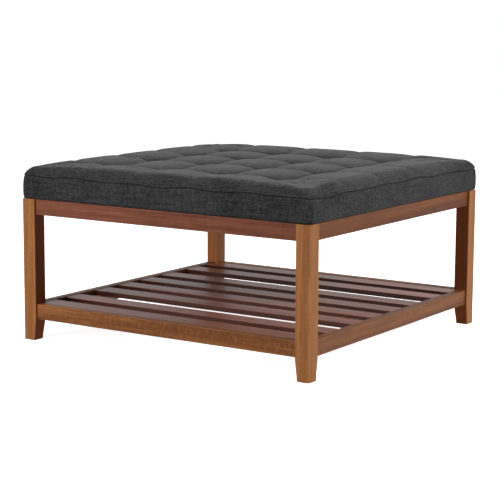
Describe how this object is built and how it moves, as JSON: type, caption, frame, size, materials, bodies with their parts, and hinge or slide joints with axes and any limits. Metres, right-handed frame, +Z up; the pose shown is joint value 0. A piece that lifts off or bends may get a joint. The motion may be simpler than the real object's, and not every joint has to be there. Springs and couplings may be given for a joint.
{
  "type": "ottoman coffee table",
  "caption": "Square upholstered ottoman coffee table: tufted cushion top on a wooden frame with tapered legs and a slatted lower shelf.",
  "frame": {"origin": "on the floor, under the centre of the table", "axes": "+Z up, +X to the right along the front, +Y from the front to the back"},
  "size_m": [0.8, 0.8, 0.42],
  "materials": {
    "stained_wood": "walnut-coloured stain, satin lacquer",
    "plain_wood": "bare sawn wood",
    "plywood": "bare plywood",
    "foam": "open-cell upholstery foam",
    "seat_fabric": "charcoal linen-look weave",
    "dust_cloth": "black non-woven sheet",
    "steel": "zinc-plated",
    "twine": "waxed twine",
    "washer_plastic": "moulded"
  },
  "bodies": {
    "root": {"apron_back": "stained_wood", "apron_block_back_left": "plain_wood", "apron_block_back_right": "plain_wood", "apron_block_front_left": "plain_wood", "apron_block_front_right": "plain_wood", "apron_front": "stained_wood", "apron_left": "stained_wood", "apron_right": "stained_wood", "block_screws": "steel", "board_screws": "steel", "bolt_washers": "steel", "cover_side_band": "seat_fabric", "cover_staples": "steel", "cover_top_panel": "seat_fabric", "dust_cover": "dust_cloth", "foam_pad": "foam", "frame_bolts": "steel", "frame_dowels": "plain_wood", "ledger_screws": "steel", "leg_back_left": "stained_wood", "leg_back_right": "stained_wood", "leg_front_left": "stained_wood", "leg_front_right": "stained_wood", "leg_inserts": "steel", "seat_board": "plywood", "shelf_block_back_left": "plain_wood", "shelf_block_back_right": "plain_wood", "shelf_block_front_left": "plain_wood", "shelf_block_front_right": "plain_wood", "shelf_rail_back": "stained_wood", "shelf_rail_front": "stained_wood", "shelf_rail_left": "stained_wood", "shelf_rail_right": "stained_wood", "shelf_slat_1": "stained_wood", "shelf_slat_2": "stained_wood", "shelf_slat_3": "stained_wood", "shelf_slat_4": "stained_wood", "shelf_slat_5": "stained_wood", "shelf_slat_6": "stained_wood", "shelf_slat_7": "stained_wood", "shelf_slat_8": "stained_wood", "slat_ledger_left": "plain_wood", "slat_ledger_right": "plain_wood", "slat_screws": "steel", "tuft_twines": "twine", "twine_washers": "washer_plastic"}
  },
  "joints": []
}
